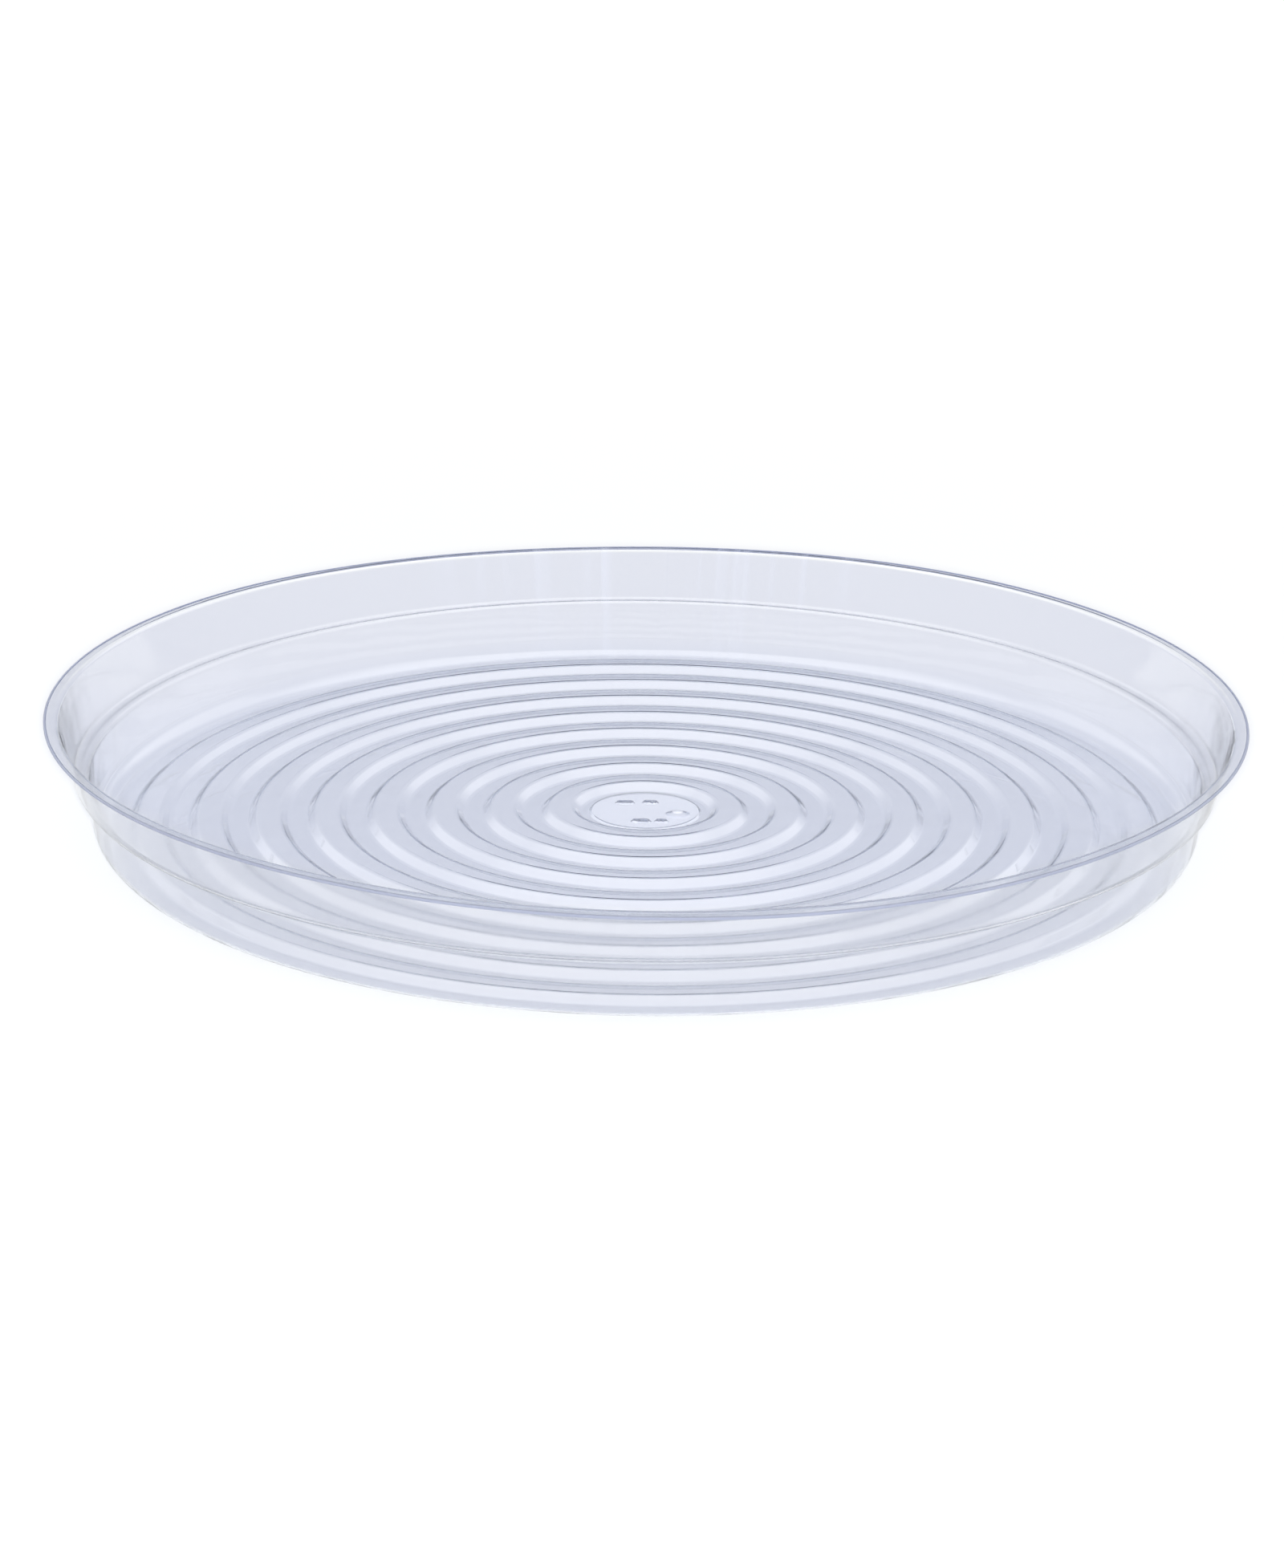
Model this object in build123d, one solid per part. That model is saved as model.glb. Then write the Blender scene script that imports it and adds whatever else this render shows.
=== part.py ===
from build123d import *
import math
import os

# A clear thermoformed plant saucer: one thin sheet drawn into a shallow dish with a ringed floor.
# Millimetres, +Z up. The origin is the centre of the circle that the saucer stands on.

# The sheet and its outline. Heights are of the sheet's upper face above the ground.
sheet = 0.5
rim_diameter = 428.4
rim_width = 4.8
rim_height = 43.5
upper_wall_lean = 5.5
ledge_height = 22.8
ledge_width = 4.5
lower_wall_lean = 1.4

# The bead under the rim's edge: as deep as it is wide, measured with the sheet above it
bead = 1.0
bead_bend = 0.3
bead_root_bend = 0.15

# Bends, measured to the middle of the sheet
rim_bend = 2.0
ledge_bend = 2.4
corner_bend = 7.9
ring_bend = 2.5

# The floor: flat raised lands that the pot stands on, and the channels between them
land_count = 8
land_width = 8.1
channel_depth = 2.8
channel_side_run = 3.2
outer_channel_width = 15.6
centre_recess_diameter = 53.0

# A low disc in the centre recess, inside a flat ring at the height of the channels
disc_ring_width = 3.0
disc_rise = 0.8
disc_side_run = 0.8
disc_bend = 0.5

# Plain relief on the disc: two bars at its back and two at its front, and a round pip to one side.
# Each one's place is given along X and Y as shares of the disc's radius.
bar_rise = 0.8
bar_width = 2.6
back_left_bar_length = 6.2
back_left_bar_shares = (-0.36, 0.37)
back_right_bar_length = 5.4
back_right_bar_shares = (0.09, 0.39)
front_left_bar_length = 6.6
front_left_bar_shares = (-0.07, -0.62)
front_right_bar_length = 4.4
front_right_bar_shares = (0.29, -0.61)
pip_diameter = 9.5
pip_rise = 1.3
pip_shares = (0.58, -0.22)

# How far a cutting shape runs past the face that it cuts
overrun = 0.3


def wall_foot():
    """Radius where the lower wall's line meets the ground."""
    lean = upper_wall_lean + lower_wall_lean
    return rim_diameter / 2 - rim_width - lean - ledge_width


def disc_radius():
    """Radius of the foot of the centre disc."""
    return centre_recess_diameter / 2 - channel_side_run - disc_ring_width


def ring_pitch():
    """Distance from one land to the next, so that the lands fill the floor evenly."""
    last_land = wall_foot() - outer_channel_width - land_width
    return (last_land - centre_recess_diameter / 2) / (land_count - 1)


def floor_bends():
    """Bends of the sheet's middle line from the centre to the last land: radius, height, bend radius."""
    low = sheet / 2
    disc = low + disc_rise
    land = low + channel_depth
    disc_edge = disc_radius()
    recess_edge = centre_recess_diameter / 2
    bends = [
        (disc_edge - disc_side_run, disc, disc_bend),
        (disc_edge, low, disc_bend),
        (recess_edge - channel_side_run, low, ring_bend),
        (recess_edge, land, ring_bend),
    ]
    for index in range(land_count):
        inner = recess_edge + index * ring_pitch()
        outer = inner + land_width
        if index > 0:
            bends.append((inner - channel_side_run, low, ring_bend))
            bends.append((inner, land, ring_bend))
        bends.append((outer, land, ring_bend))
        bends.append((outer + channel_side_run, low, ring_bend))
    return bends


def wall_bends():
    """Bends of the sheet's middle line from the corner of the floor up to the rim."""
    low = sheet / 2
    ledge = ledge_height - sheet / 2
    rim = rim_height - sheet / 2
    upper_wall_top = rim_diameter / 2 - rim_width
    upper_wall_foot = upper_wall_top - upper_wall_lean
    lower_wall_top = upper_wall_foot - ledge_width
    return [
        (wall_foot(), low, corner_bend),
        (lower_wall_top, ledge, ledge_bend),
        (upper_wall_foot, ledge, ledge_bend),
        (upper_wall_top, rim, rim_bend),
    ]


def shifted_bend(before, bend, after, shift):
    """The bend of a line that runs beside the middle line, to its left where shift is above zero."""
    into = math.atan2(bend[1] - before[1], bend[0] - before[0])
    out = math.atan2(after[1] - bend[1], after[0] - bend[0])
    half_turn = (out - into) / 2
    normal = into + half_turn + math.pi / 2
    reach = shift / math.cos(half_turn)
    corner = (bend[0] + reach * math.cos(normal), bend[1] + reach * math.sin(normal))
    side = math.copysign(shift, shift * half_turn)
    return corner, bend[2] - side


def skin(shift, edge):
    """One face of the sheet from the axis to the rim, shifted from the middle line, then round the edge."""
    bends = floor_bends() + wall_bends()
    start = (0, bends[0][1], 0)
    end = (rim_diameter / 2, bends[-1][1], 0)
    line = [start] + bends + [end]
    moved = [shifted_bend(*line[i - 1 : i + 2], shift) for i in range(1, len(line) - 1)]
    corners = moved + edge
    points = [(start[0], start[1] + shift)] + [point for point, _ in corners]
    points.append((end[0], rim_height - bead / 2))
    return FilletPolyline(*points, radius=[radius for _, radius in corners])


def formed_sheet():
    """The drawn sheet with its bead: the section turned about the upright axis."""
    outside = rim_diameter / 2
    bead_inside = outside - bead
    bead_foot = rim_height - bead
    above = [((outside, rim_height), bead_bend)]
    below = [
        ((bead_inside, rim_height - sheet), bead_root_bend),
        ((bead_inside, bead_foot), bead_bend),
        ((outside, bead_foot), bead_bend),
    ]
    upper = skin(sheet / 2, above)
    lower = skin(-sheet / 2, below)
    axis_end = Line(lower @ 0, upper @ 0)
    section = make_face(Wire([*lower.edges(), *upper.edges(), axis_end]))
    return revolve(Plane.XZ * section, Axis.Z)


def on_disc(shares):
    """A place on the disc from its shares of the disc's radius."""
    return shares[0] * disc_radius(), shares[1] * disc_radius()


def relief_bar(length, shares):
    """A round-ended bar pressed up out of the disc, and the hollow beneath it."""
    x, y = on_disc(shares)
    underside = disc_rise
    hollow_width = bar_width - sheet
    pad = Pos(x, y, underside) * extrude(SlotOverall(length, bar_width), sheet + bar_rise)
    cut_height = bar_rise + overrun
    hollow = extrude(SlotOverall(length - sheet, hollow_width), cut_height)
    return pad, Pos(x, y, underside - overrun) * hollow


def relief_pip():
    """A shallow round dome pressed up out of the disc, and the hollow beneath it."""
    x, y = on_disc(pip_shares)
    underside = disc_rise
    radius = pip_diameter / 2
    ball = (radius**2 + pip_rise**2) / (2 * pip_rise)
    centre = underside + pip_rise - ball
    column = Pos(x, y, underside) * extrude(Circle(radius), sheet + pip_rise)
    dome = column & Pos(x, y, centre) * Sphere(ball + sheet)
    below = Pos(x, y, underside - overrun) * extrude(Circle(radius), pip_rise + overrun)
    return dome, below & Pos(x, y, centre) * Sphere(ball)


def saucer():
    """The whole saucer: the formed sheet with its relief."""
    body = formed_sheet()
    reliefs = [
        relief_bar(back_left_bar_length, back_left_bar_shares),
        relief_bar(back_right_bar_length, back_right_bar_shares),
        relief_bar(front_left_bar_length, front_left_bar_shares),
        relief_bar(front_right_bar_length, front_right_bar_shares),
        relief_pip(),
    ]
    for raised, hollow in reliefs:
        body = body + raised - hollow
    return body


os.makedirs("parts", exist_ok=True)
export_step(saucer(), "parts/saucer.step")
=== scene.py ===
"""A clear thermoformed plant saucer on a white floor. Metres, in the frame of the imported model."""

import math

import bpy
import numpy as np
from mathutils import Matrix, Vector


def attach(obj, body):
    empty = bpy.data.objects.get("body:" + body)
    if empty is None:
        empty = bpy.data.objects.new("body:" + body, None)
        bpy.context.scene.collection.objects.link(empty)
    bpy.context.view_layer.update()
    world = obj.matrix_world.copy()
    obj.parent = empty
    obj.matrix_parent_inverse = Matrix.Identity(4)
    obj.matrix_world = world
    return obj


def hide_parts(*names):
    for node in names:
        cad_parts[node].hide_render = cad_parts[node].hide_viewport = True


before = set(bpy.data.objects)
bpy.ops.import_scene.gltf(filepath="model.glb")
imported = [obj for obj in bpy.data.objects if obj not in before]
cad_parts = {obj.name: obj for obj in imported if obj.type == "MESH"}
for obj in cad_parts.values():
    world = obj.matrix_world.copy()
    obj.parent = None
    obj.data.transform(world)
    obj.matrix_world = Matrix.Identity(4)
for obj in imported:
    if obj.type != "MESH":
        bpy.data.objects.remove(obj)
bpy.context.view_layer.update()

MM = 0.001

# The sheet and its outline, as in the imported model. Heights are of the sheet's upper face.
SHEET = 0.5 * MM
RIM_RADIUS = 214.2 * MM
RIM_WIDTH = 4.8 * MM
RIM_HEIGHT = 43.5 * MM
UPPER_WALL_LEAN = 5.5 * MM
LEDGE_HEIGHT = 22.8 * MM
LEDGE_WIDTH = 4.5 * MM
LOWER_WALL_LEAN = 1.4 * MM

# The bead round the rim's edge, and how far the sheet reaches into it
BEAD = 1.0 * MM
SHEET_INTO_BEAD = 0.3 * MM

# Bends, measured to the middle of the sheet
RIM_BEND = 2.0 * MM
LEDGE_BEND = 2.4 * MM
CORNER_BEND = 7.9 * MM
RING_BEND = 2.5 * MM
DISC_BEND = 0.5 * MM

# The ringed floor: raised lands, and the channels between them
LAND_COUNT = 8
LAND_WIDTH = 8.1 * MM
CHANNEL_DEPTH = 2.8 * MM
CHANNEL_SIDE_RUN = 3.2 * MM
OUTER_CHANNEL_WIDTH = 15.6 * MM
CENTRE_RECESS_RADIUS = 26.5 * MM

# The low disc in the centre recess
DISC_RING_WIDTH = 3.0 * MM
DISC_RISE = 0.8 * MM
DISC_SIDE_RUN = 0.8 * MM

# Relief on the disc. Each bar has its length and its place, and places are shares of the disc's radius.
BAR_RISE = 0.8 * MM
BAR_WIDTH = 2.6 * MM
BARS = (
    (6.2 * MM, -0.36, 0.37),
    (5.4 * MM, 0.09, 0.39),
    (6.6 * MM, -0.07, -0.62),
    (4.4 * MM, 0.29, -0.61),
)
PIP_DIAMETER = 9.5 * MM
PIP_RISE = 1.3 * MM
PIP_SHARES = (0.58, -0.22)
PIP_FLANK = 1.5
RELIEF_SLOPE = 0.9 * MM

# Where the thin rim sags: azimuth of the lowest place, half its spread, and the drop of the edge there
SAGS = (
    (math.radians(285), math.radians(60), 2.5 * MM),
    (math.radians(98), math.radians(48), 1.3 * MM),
)

# How finely the sheet is cut up
SPOKES = 200
BEND_STEP = math.radians(12)
DISC_STEP = 0.6 * MM
SLOPE_STEP = 0.01 * MM

# The plastic. Lamps shine through it with a tint, and light from the floor passes it almost unchanged.
REFRACTION = 1.5
SHEET_COLOUR = (0.99, 0.99, 0.994, 1)
BODY_COLOUR = (0.2, 0.36, 0.69, 1)
BODY_DENSITY = 75
# The bead's grey colour is painted shade: the dark line of the rim's edge. Its roughness is the duller
# edge.
BEAD_SHADE_COLOUR = (0.47, 0.49, 0.57, 1)
BEAD_ROUGHNESS = 0.4
BEAD_CLEAR_SHARE = 0.6
LAMP_TINT = (0.2, 0.3, 0.65, 1)
BOUNCE_TINT = (0.975, 0.98, 0.99, 1)

# The frosted disc. The relief and its crown begin at heights over the disc's upper face; the crown is
# frosted whiter as a painted highlight.
DISC_TOP = DISC_RISE + SHEET
DISC_EDGE = 1.5 * MM
DISC_CLEAR_SHARE = 0.84
RELIEF_EDGE = (0.02 * MM, 0.1 * MM)
PIP_HIGHLIGHT_EDGE = (0.85 * MM, 1.05 * MM)
PIP_HIGHLIGHT_FROST = 0.4

# The painted reflections in the back wall, frosted streaks that stand in for reflected light; the sheet's
# long waves and its smudges. A noise is a scale and a detail.
STREAK_REFLECTION_NOISE = (30, 1)
STREAK_REFLECTION_LIMITS = (0.53, 0.72)
STREAK_REFLECTION_FROST = 0.07
BACK_WALL = (185 * MM, 208 * MM)
WAVE_NOISE = (30, 2)
WAVE_HEIGHT = 0.25 * MM
SMUDGE_NOISE = (35, 4)
SMUDGE_LIMITS = (0.35, 0.7)
SMUDGE_ROUGHNESS = (0.02, 0.07)

# What the wall and the ledge add to the roughness, and how far from the ledge's face its share fades
WALL_ROUGHNESS = 0.015
LEDGE_ROUGHNESS = 0.1
LEDGE_REACH = (3.4 * MM, 2.0 * MM)

# The floor: its shine grows with the distance from the saucer, in metres
FLOOR_REACH = 40.0
FLOOR_GAP = 0.02 * MM
FLOOR_COLOUR = (0.6, 0.598, 0.575, 1)
SHINE_DISTANCES = (0.3, 2.5)
SHINE_STRENGTHS = (0.19, 0.45)

# The dome's dark and bright parts, its side glows as shares of the overhead one, and the front lamp
SKY_DARK = (0.42, 0.453, 0.56, 1)
SKY_BRIGHT = (2.1, 2.1, 2.1, 1)
RIGHT_GLOW = 0.5
LEFT_GLOW = 0.45
LAMP_WATTS = 42
LAMP_RADIUS = 0.03

# The camera: it looks at a point near the saucer's middle
CAMERA_DISTANCE = 1.32066
CAMERA_ELEVATION = math.radians(19.191)
CAMERA_ROLL = math.radians(0.674)
FOCAL_PIXELS = 4534.33
PICTURE_WIDTH = 1600
PICTURE_HEIGHT = 1954
AIM_PIXEL = (803.977, 1003.455)
FILM = 36.0


def wall_foot():
    """Radius where the lower wall's line meets the ground."""
    return RIM_RADIUS - RIM_WIDTH - UPPER_WALL_LEAN - LEDGE_WIDTH - LOWER_WALL_LEAN


def disc_radius():
    """Radius of the foot of the centre disc."""
    return CENTRE_RECESS_RADIUS - CHANNEL_SIDE_RUN - DISC_RING_WIDTH


def sheet_bends():
    """Bends of the sheet's middle line from the centre out to the rim: radius, height, bend radius."""
    low = SHEET / 2
    disc = low + DISC_RISE
    land = low + CHANNEL_DEPTH
    ledge = LEDGE_HEIGHT - SHEET / 2
    rim = RIM_HEIGHT - SHEET / 2
    last_land = wall_foot() - OUTER_CHANNEL_WIDTH - LAND_WIDTH
    pitch = (last_land - CENTRE_RECESS_RADIUS) / (LAND_COUNT - 1)
    bends = [
        (disc_radius() - DISC_SIDE_RUN, disc, DISC_BEND),
        (disc_radius(), low, DISC_BEND),
    ]
    for index in range(LAND_COUNT):
        inner = CENTRE_RECESS_RADIUS + index * pitch
        outer = inner + LAND_WIDTH
        bends.append((inner - CHANNEL_SIDE_RUN, low, RING_BEND))
        bends.append((inner, land, RING_BEND))
        bends.append((outer, land, RING_BEND))
        bends.append((outer + CHANNEL_SIDE_RUN, low, RING_BEND))
    wall_top = RIM_RADIUS - RIM_WIDTH
    wall_step = wall_top - UPPER_WALL_LEAN
    bends.append((wall_foot(), low, CORNER_BEND))
    bends.append((wall_step - LEDGE_WIDTH, ledge, LEDGE_BEND))
    bends.append((wall_step, ledge, LEDGE_BEND))
    bends.append((wall_top, rim, RIM_BEND))
    return bends


def shifted(before, bend, after, shift):
    """A bend of the line that runs beside the middle line, to its left where shift is above zero."""
    into = math.atan2(bend[1] - before[1], bend[0] - before[0])
    out = math.atan2(after[1] - bend[1], after[0] - bend[0])
    half_turn = (out - into) / 2
    normal = into + half_turn + math.pi / 2
    reach = shift / math.cos(half_turn)
    side = math.copysign(shift, shift * half_turn)
    return bend[0] + reach * math.cos(normal), bend[1] + reach * math.sin(normal), bend[2] - side


def bent_line(corners):
    """Points along a line with round bends: radius, height and the line's heading there."""
    points = []
    for before, (x, z, bend), after in zip(corners, corners[1:], corners[2:]):
        into = math.atan2(z - before[1], x - before[0])
        out = math.atan2(after[1] - z, after[0] - x)
        turn = (out - into + math.pi) % math.tau - math.pi
        side = math.copysign(1, turn)
        reach = bend * math.tan(abs(turn) / 2)
        centre_x = x - reach * math.cos(into) - side * bend * math.sin(into)
        centre_z = z - reach * math.sin(into) + side * bend * math.cos(into)
        steps = max(2, math.ceil(abs(turn) / BEND_STEP))
        for step in range(steps + 1):
            heading = into + turn * step / steps
            px = centre_x + side * bend * math.sin(heading)
            pz = centre_z - side * bend * math.cos(heading)
            points.append((px, pz, heading))
    return points


def sheet_outline():
    """The sheet's closed section: from the underside's centre, round its edge in the bead, and back."""
    bends = sheet_bends()
    half = SHEET / 2
    disc = bends[0][1]
    line = [(0, disc, 0)] + bends + [(RIM_RADIUS, bends[-1][1], 0)]
    lower = [shifted(*line[i - 1 : i + 2], -half) for i in range(1, len(line) - 1)]
    upper = [shifted(*line[i - 1 : i + 2], half) for i in range(1, len(line) - 1)]
    end = RIM_RADIUS - BEAD + SHEET_INTO_BEAD
    edge = [(end, RIM_HEIGHT - SHEET, 0), (end, RIM_HEIGHT, 0)]
    points = bent_line([(0, disc - half, 0)] + lower + edge + upper[::-1] + [(0, disc + half, 0)])
    flat = points[0][0]
    steps = math.ceil(flat / DISC_STEP)
    inside = [flat * step / steps for step in range(steps)]
    underside = [(radius, disc - half, 0.0) for radius in inside]
    top = [(radius, disc + half, math.pi) for radius in inside[::-1]]
    return underside + points + top


def bead_outline():
    """The round section of the bead at the rim's edge."""
    half = BEAD / 2
    steps = round(math.tau / BEND_STEP)
    turns = [math.tau * step / steps for step in range(steps + 1)]
    return [
        (RIM_RADIUS - half + half * math.sin(turn), RIM_HEIGHT - half - half * math.cos(turn), turn)
        for turn in turns
    ]


def bar_height(x, y, length, x_share, y_share):
    """Height of a round-ended bar over the disc at x, y."""
    centre_x, centre_y = x_share * disc_radius(), y_share * disc_radius()
    reach = length / 2 - BAR_WIDTH / 2
    along = np.maximum(np.abs(x - centre_x) - reach, 0)
    away = np.hypot(along, y - centre_y)
    edge = np.clip((BAR_WIDTH / 2 + RELIEF_SLOPE / 2 - away) / RELIEF_SLOPE, 0, 1)
    return BAR_RISE * edge * edge * (3 - 2 * edge)


def pip_height(x, y):
    """Height of the round pip over the disc at x, y."""
    centre_x, centre_y = PIP_SHARES[0] * disc_radius(), PIP_SHARES[1] * disc_radius()
    away = np.hypot(x - centre_x, y - centre_y) / (PIP_DIAMETER / 2)
    return PIP_RISE * np.clip(1 - away**2, 0, 1) ** PIP_FLANK


def rim_sag(x, y):
    """How far the rim and the upper wall hang down at x, y: nothing at the ledge, and most at the edge."""
    reach = RIM_WIDTH + UPPER_WALL_LEAN
    out = np.clip((np.hypot(x, y) - RIM_RADIUS + reach) / reach, 0, 1)
    azimuth = np.arctan2(y, x)
    drop = 0
    for lowest, spread, depth in SAGS:
        away = np.abs((azimuth - lowest + math.pi) % math.tau - math.pi)
        drop = drop + depth * np.cos(np.clip(away / spread, 0, 1) * math.pi / 2) ** 2
    return drop * out


def rise(x, y):
    """How far the sheet stands above its turned shape at x, y: the disc's relief, less the rim's sag."""
    return sum(bar_height(x, y, *bar) for bar in BARS) + pip_height(x, y) - rim_sag(x, y)


def turned(outline):
    """A section turned about the upright axis, as points, faces and normals."""
    angles = np.arange(SPOKES) * math.tau / SPOKES
    cos, sin = np.cos(angles), np.sin(angles)
    step = SLOPE_STEP
    points, normals, rings = [], [], []
    start = 0
    for radius, height, heading in outline:
        out, up = math.sin(heading), -math.cos(heading)
        if radius == 0:
            points.append(np.array([[0, 0, height]]))
            normals.append(np.array([[0, 0, up]]))
            rings.append(np.full(SPOKES, start))
            start += 1
            continue
        x, y = radius * cos, radius * sin
        points.append(np.stack([x, y, height + rise(x, y)], -1))
        slope_x = (rise(x + step, y) - rise(x - step, y)) / (2 * step)
        slope_y = (rise(x, y + step) - rise(x, y - step)) / (2 * step)
        normal_x, normal_y = out * cos - slope_x * up, out * sin - slope_y * up
        normal = np.stack([normal_x, normal_y, np.full(SPOKES, up)], -1)
        normals.append(normal / np.linalg.norm(normal, axis=1)[:, None])
        rings.append(start + np.arange(SPOKES))
        start += SPOKES
    faces = []
    for inner, outer in zip(rings, rings[1:]):
        for j in range(SPOKES):
            k = (j + 1) % SPOKES
            corners = [inner[j], inner[k], outer[k], outer[j]]
            faces.append(list(dict.fromkeys(int(c) for c in corners)))
    return np.concatenate(points), faces, np.concatenate(normals)


def make_piece(name, outline, material):
    """A turned mesh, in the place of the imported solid."""
    points, faces, normals = turned(outline)
    mesh = bpy.data.meshes.new(name)
    mesh.from_pydata(points.tolist(), [], faces)
    mesh.materials.append(material)
    mesh.shade_smooth()
    mesh.normals_split_custom_set_from_vertices(normals.tolist())
    piece = bpy.data.objects.new(name, mesh)
    bpy.context.scene.collection.objects.link(piece)
    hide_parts("saucer")
    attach(piece, "root")


def calculate(tree, operation, *values):
    """A Math node's result. Each value is a number or another node's output."""
    node = tree.nodes.new("ShaderNodeMath")
    node.operation = operation
    for socket, value in zip(node.inputs, values):
        if isinstance(value, (int, float)):
            socket.default_value = value
        else:
            tree.links.new(value, socket)
    return node.outputs[0]


def remap(tree, value, source, target=(0, 1), interpolation="LINEAR"):
    """A Map Range node's result: it turns the source range of the value into the target range."""
    node = tree.nodes.new("ShaderNodeMapRange")
    node.interpolation_type = interpolation
    node.inputs["From Min"].default_value, node.inputs["From Max"].default_value = source
    node.inputs["To Min"].default_value, node.inputs["To Max"].default_value = target
    tree.links.new(value, node.inputs["Value"])
    return node.outputs["Result"]


def calculate_vector(tree, operation, vector, by=(0, 0, 0)):
    """A Vector Math node's result: a number for a length, or else a vector."""
    node = tree.nodes.new("ShaderNodeVectorMath")
    node.operation = operation
    tree.links.new(vector, node.inputs[0])
    node.inputs[1].default_value = by
    return node.outputs["Value" if operation == "LENGTH" else "Vector"]


def noise(tree, place, scale, detail):
    """A noise's height at each place."""
    node = tree.nodes.new("ShaderNodeTexNoise")
    node.inputs["Scale"].default_value = scale
    node.inputs["Detail"].default_value = detail
    tree.links.new(place, node.inputs["Vector"])
    return node.outputs["Fac"]


def plastic(name, colour):
    """A clear plastic that lets lamps through with a lavender tint, and its shader."""
    material = bpy.data.materials.new(name)
    material.use_nodes = True
    nodes, links = material.node_tree.nodes, material.node_tree.links
    shader = nodes["Principled BSDF"]
    shader.inputs["Base Color"].default_value = colour
    shader.inputs["IOR"].default_value = REFRACTION
    path = nodes.new("ShaderNodeLightPath")
    surface = shader.outputs[0]
    for ray, tint in (("Is Diffuse Ray", BOUNCE_TINT), ("Is Shadow Ray", LAMP_TINT)):
        through = nodes.new("ShaderNodeBsdfTransparent")
        through.inputs["Color"].default_value = tint
        mix = nodes.new("ShaderNodeMixShader")
        links.new(path.outputs[ray], mix.inputs[0])
        links.new(surface, mix.inputs[1])
        links.new(through.outputs[0], mix.inputs[2])
        surface = mix.outputs[0]
    links.new(surface, nodes["Material Output"].inputs["Surface"])
    return material, shader


def dull_plastic():
    """The bead's plastic, duller than the sheet's, and grey as painted shade of the rim's dark edge."""
    material, shader = plastic("dull_bead_painted_shade", BEAD_SHADE_COLOUR)
    shader.inputs["Roughness"].default_value = BEAD_ROUGHNESS
    shader.inputs["Transmission Weight"].default_value = BEAD_CLEAR_SHARE
    return material


def clear_share(tree, place, y, z):
    """How clear the sheet is: frosted on the disc, frosted on the pip's crown as a painted highlight, and
    frosted in streaks in the back wall as painted reflections.
    """
    away = calculate_vector(tree, "LENGTH", place)
    off_disc = remap(tree, away, (disc_radius() - DISC_EDGE, disc_radius()), (DISC_CLEAR_SHARE, 1))
    relief = remap(tree, z, [DISC_TOP + edge for edge in RELIEF_EDGE])
    # The pip's crown is frosted whiter: a painted highlight.
    painted_pip_highlight = remap(tree, z, [DISC_TOP + edge for edge in PIP_HIGHLIGHT_EDGE], (0, PIP_HIGHLIGHT_FROST))
    on_disc = calculate(tree, "LESS_THAN", away, disc_radius())
    clear = calculate(tree, "MAXIMUM", off_disc, relief)
    clear = calculate(tree, "SUBTRACT", clear, calculate(tree, "MULTIPLY", painted_pip_highlight, on_disc))
    around = calculate_vector(tree, "NORMALIZE", calculate_vector(tree, "MULTIPLY", place, (1, 1, 0)))
    # Frosted vertical streaks, only in the back wall: painted reflections of light.
    painted_reflection_streaks = remap(tree, noise(tree, around, *STREAK_REFLECTION_NOISE), STREAK_REFLECTION_LIMITS, (0, STREAK_REFLECTION_FROST))
    at_back = remap(tree, y, BACK_WALL)
    return calculate(tree, "SUBTRACT", clear, calculate(tree, "MULTIPLY", painted_reflection_streaks, at_back))


def roughness(tree, place, z):
    """How rough the sheet is: smudged all over, duller up the wall, and most at the ledge."""
    smudges = remap(tree, noise(tree, place, *SMUDGE_NOISE), SMUDGE_LIMITS, SMUDGE_ROUGHNESS)
    wall = remap(tree, z, (CHANNEL_DEPTH + 2 * SHEET, LEDGE_HEIGHT / 2), (0, WALL_ROUGHNESS))
    off_ledge = calculate(tree, "ABSOLUTE", calculate(tree, "SUBTRACT", z, LEDGE_HEIGHT))
    ledge = remap(tree, off_ledge, LEDGE_REACH, (0, LEDGE_ROUGHNESS))
    return calculate(tree, "ADD", calculate(tree, "ADD", smudges, wall), ledge)


def clear_plastic():
    """The clear sheet: a faint lavender body, a frosted disc, and the long waves of a drawn sheet."""
    material, shader = plastic("clear_plastic", SHEET_COLOUR)
    tree = material.node_tree
    absorb = tree.nodes.new("ShaderNodeVolumeAbsorption")
    absorb.inputs["Color"].default_value = BODY_COLOUR
    absorb.inputs["Density"].default_value = BODY_DENSITY
    tree.links.new(absorb.outputs[0], tree.nodes["Material Output"].inputs["Volume"])
    place = tree.nodes.new("ShaderNodeTexCoord").outputs["Object"]
    split = tree.nodes.new("ShaderNodeSeparateXYZ")
    tree.links.new(place, split.inputs[0])
    y, z = split.outputs["Y"], split.outputs["Z"]
    tree.links.new(clear_share(tree, place, y, z), shader.inputs["Transmission Weight"])
    tree.links.new(roughness(tree, place, z), shader.inputs["Roughness"])
    bump = tree.nodes.new("ShaderNodeBump")
    bump.inputs["Distance"].default_value = WAVE_HEIGHT
    tree.links.new(noise(tree, place, *WAVE_NOISE), bump.inputs["Height"])
    tree.links.new(bump.outputs["Normal"], shader.inputs["Normal"])
    return material


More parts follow.
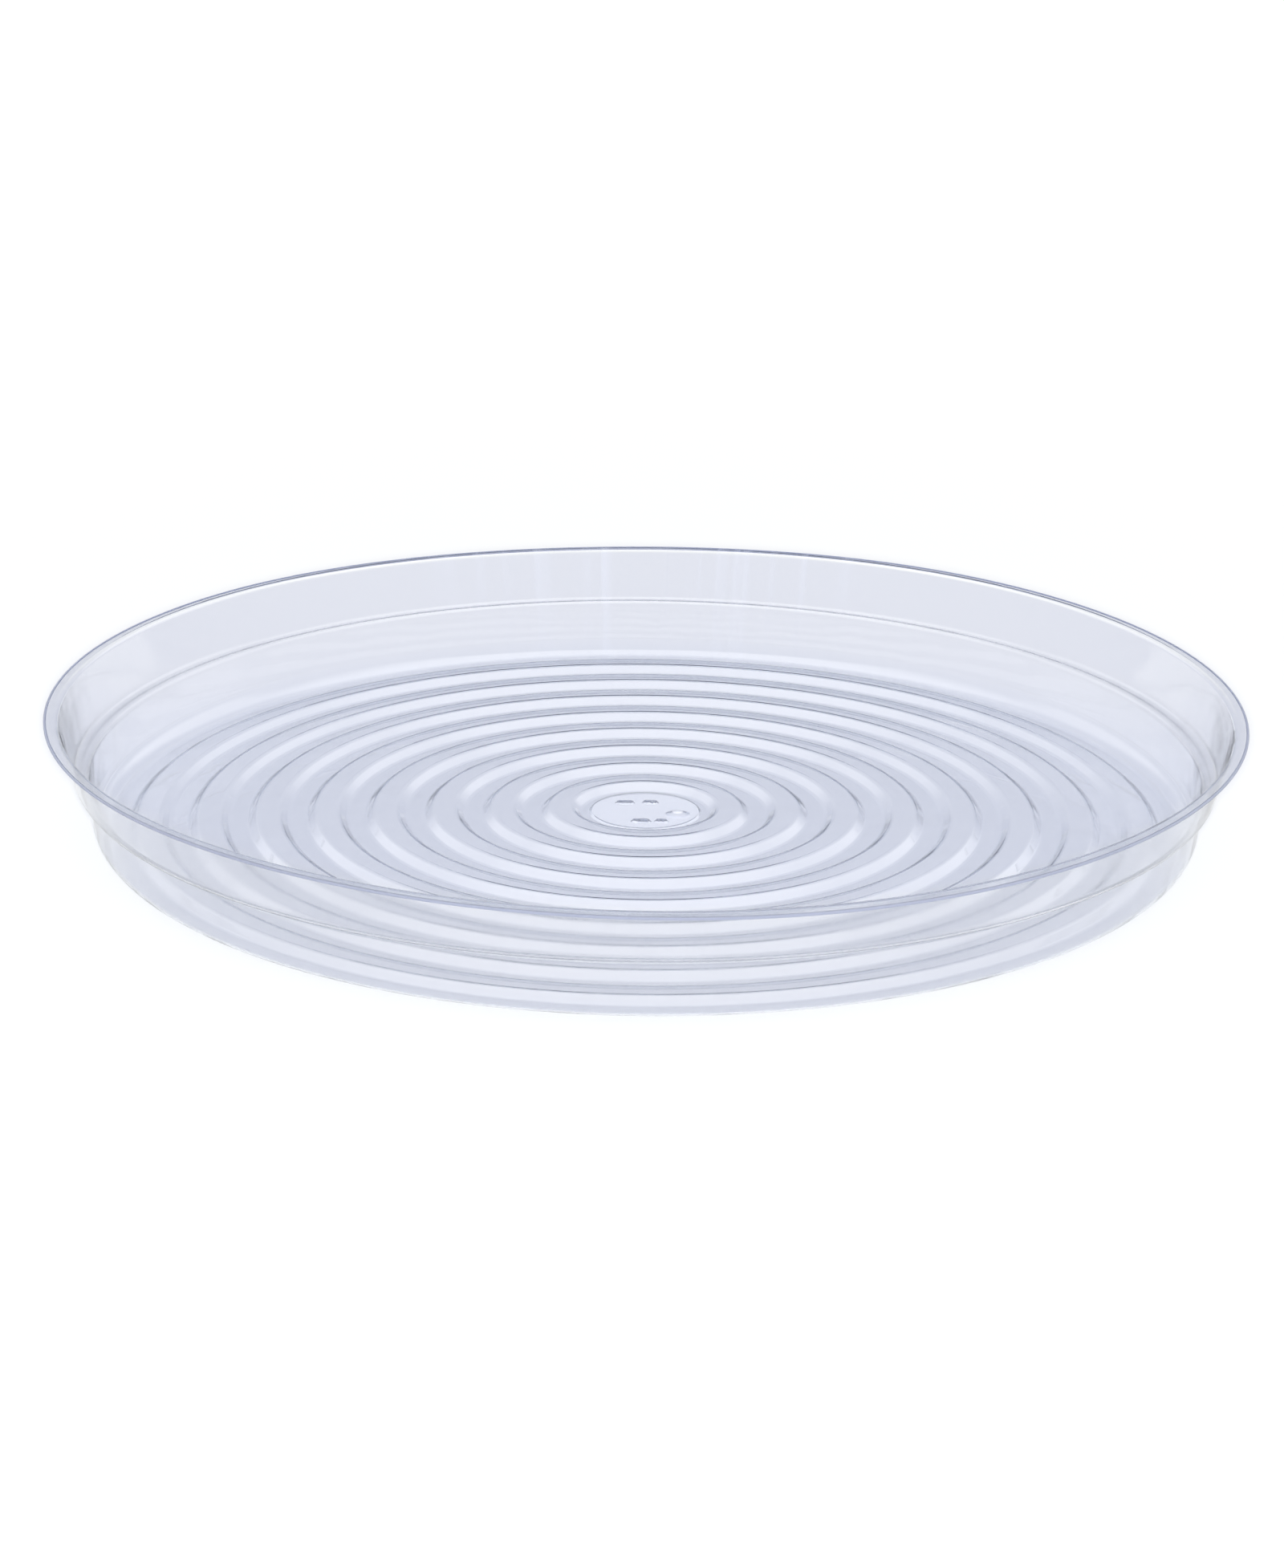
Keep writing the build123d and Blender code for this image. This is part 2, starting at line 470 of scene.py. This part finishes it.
def white_floor():
    """A pale floor: part of its white shines for rays that show it, and its shadow stays."""
    mesh = bpy.data.meshes.new("floor")
    corners = [(-1, -1), (1, -1), (1, 1), (-1, 1)]
    mesh.from_pydata([(FLOOR_REACH * x, FLOOR_REACH * y, 0) for x, y in corners], [], [(0, 1, 2, 3)])
    floor = bpy.data.objects.new("floor", mesh)
    floor.location.z = -FLOOR_GAP
    bpy.context.scene.collection.objects.link(floor)
    material = bpy.data.materials.new("floor_white")
    material.use_nodes = True
    tree = material.node_tree
    nodes, links = tree.nodes, tree.links
    nodes.remove(nodes["Principled BSDF"])
    matte = nodes.new("ShaderNodeBsdfDiffuse")
    matte.inputs["Color"].default_value = FLOOR_COLOUR
    path = nodes.new("ShaderNodeLightPath")
    seen = path.outputs["Is Camera Ray"]
    for ray in ("Is Glossy Ray", "Is Transmission Ray"):
        seen = calculate(tree, "MAXIMUM", seen, path.outputs[ray])
    place = nodes.new("ShaderNodeTexCoord").outputs["Object"]
    away = calculate_vector(tree, "LENGTH", place)
    strength = remap(tree, away, SHINE_DISTANCES, SHINE_STRENGTHS)
    shine = nodes.new("ShaderNodeEmission")
    links.new(calculate(tree, "MULTIPLY", seen, strength), shine.inputs["Strength"])
    both = nodes.new("ShaderNodeAddShader")
    links.new(matte.outputs[0], both.inputs[0])
    links.new(shine.outputs[0], both.inputs[1])
    links.new(both.outputs[0], nodes["Material Output"].inputs["Surface"])
    mesh.materials.append(material)


def dome():
    """A sky that is bright overhead and glows at both sides, towards the back."""
    world = bpy.data.worlds.new("studio")
    bpy.context.scene.world = world
    world.use_nodes = True
    world.cycles.sampling_method = "NONE"
    tree = world.node_tree
    split = tree.nodes.new("ShaderNodeSeparateXYZ")
    tree.links.new(tree.nodes.new("ShaderNodeTexCoord").outputs["Generated"], split.inputs[0])

    def step(axis, start, end, top=1):
        """A smooth step from 0 to top along one axis of the sky, whose directions run from -1 to 1."""
        return remap(tree, split.outputs[axis], (start, end), (0, top), "SMOOTHSTEP")

    def times(a, b):
        return calculate(tree, "MULTIPLY", a, b)

    def larger(a, b):
        return calculate(tree, "MAXIMUM", a, b)

    overhead = times(times(step("Y", -0.45, -0.3), step("Y", 0.6, 0.3)), step("Z", 0.4, 1.0))
    beside = larger(step("X", 0.33, 0.6, RIGHT_GLOW), step("X", -0.36, -0.65, LEFT_GLOW))
    beside = times(times(beside, step("Y", 0.0, 0.3)), step("Z", 0.05, 0.35))
    tone = tree.nodes.new("ShaderNodeValToRGB")
    tone.color_ramp.elements[0].color = SKY_DARK
    tone.color_ramp.elements[1].color = SKY_BRIGHT
    tree.links.new(larger(overhead, beside), tone.inputs["Fac"])
    tree.links.new(tone.outputs["Color"], tree.nodes["Background"].inputs["Color"])


def front_lamp(place):
    """A soft lamp that is as strong near as far, and isn't seen in the plastic."""
    lamp = bpy.data.lights.new("front_lamp", "POINT")
    lamp.shadow_soft_size = LAMP_RADIUS
    lamp.energy = LAMP_WATTS
    lamp.use_nodes = True
    lamp.cycles.use_multiple_importance_sampling = False
    nodes, links = lamp.node_tree.nodes, lamp.node_tree.links
    falloff = nodes.new("ShaderNodeLightFalloff")
    falloff.inputs["Strength"].default_value = 1
    links.new(falloff.outputs["Constant"], nodes["Emission"].inputs["Strength"])
    front = bpy.data.objects.new("front_lamp", lamp)
    front.visible_glossy = False
    front.visible_transmission = False
    front.visible_camera = False
    front.location = place
    bpy.context.scene.collection.objects.link(front)


def make_camera():
    """The photograph's camera. It looks at the middle of the lands' plane, off the picture's centre."""
    forward = Vector((0, math.cos(CAMERA_ELEVATION), -math.sin(CAMERA_ELEVATION)))
    right = Vector((1, 0, 0))
    up = right.cross(forward)
    aim = Vector((0, 0, CHANNEL_DEPTH + SHEET / 2))
    across = (AIM_PIXEL[0] - PICTURE_WIDTH / 2) / FOCAL_PIXELS
    down = (AIM_PIXEL[1] - PICTURE_HEIGHT / 2) / FOCAL_PIXELS
    offset = Vector((across, -down, 1)).normalized()
    swing = Vector((0, 0, 1)).rotation_difference(offset).to_matrix()
    roll = Matrix.Rotation(CAMERA_ROLL, 3, "Z")
    axes = Matrix((right, up, forward)).transposed() @ roll @ swing.transposed()
    pose = Matrix((axes.col[0], axes.col[1], -axes.col[2])).transposed().to_4x4()
    pose.translation = aim - CAMERA_DISTANCE * forward
    data = bpy.data.cameras.new("camera")
    data.sensor_fit = "VERTICAL"
    data.sensor_height = FILM
    data.lens = FOCAL_PIXELS / PICTURE_HEIGHT * FILM
    camera = bpy.data.objects.new("camera", data)
    camera.matrix_world = pose
    bpy.context.scene.collection.objects.link(camera)
    bpy.context.scene.camera = camera
    return pose.translation


camera_place = make_camera()
white_floor()
dome()
front_lamp(camera_place)
make_piece("saucer_sheet", sheet_outline(), clear_plastic())
make_piece("rim_bead", bead_outline(), dull_plastic())
bpy.context.scene.view_settings.view_transform = "Standard"
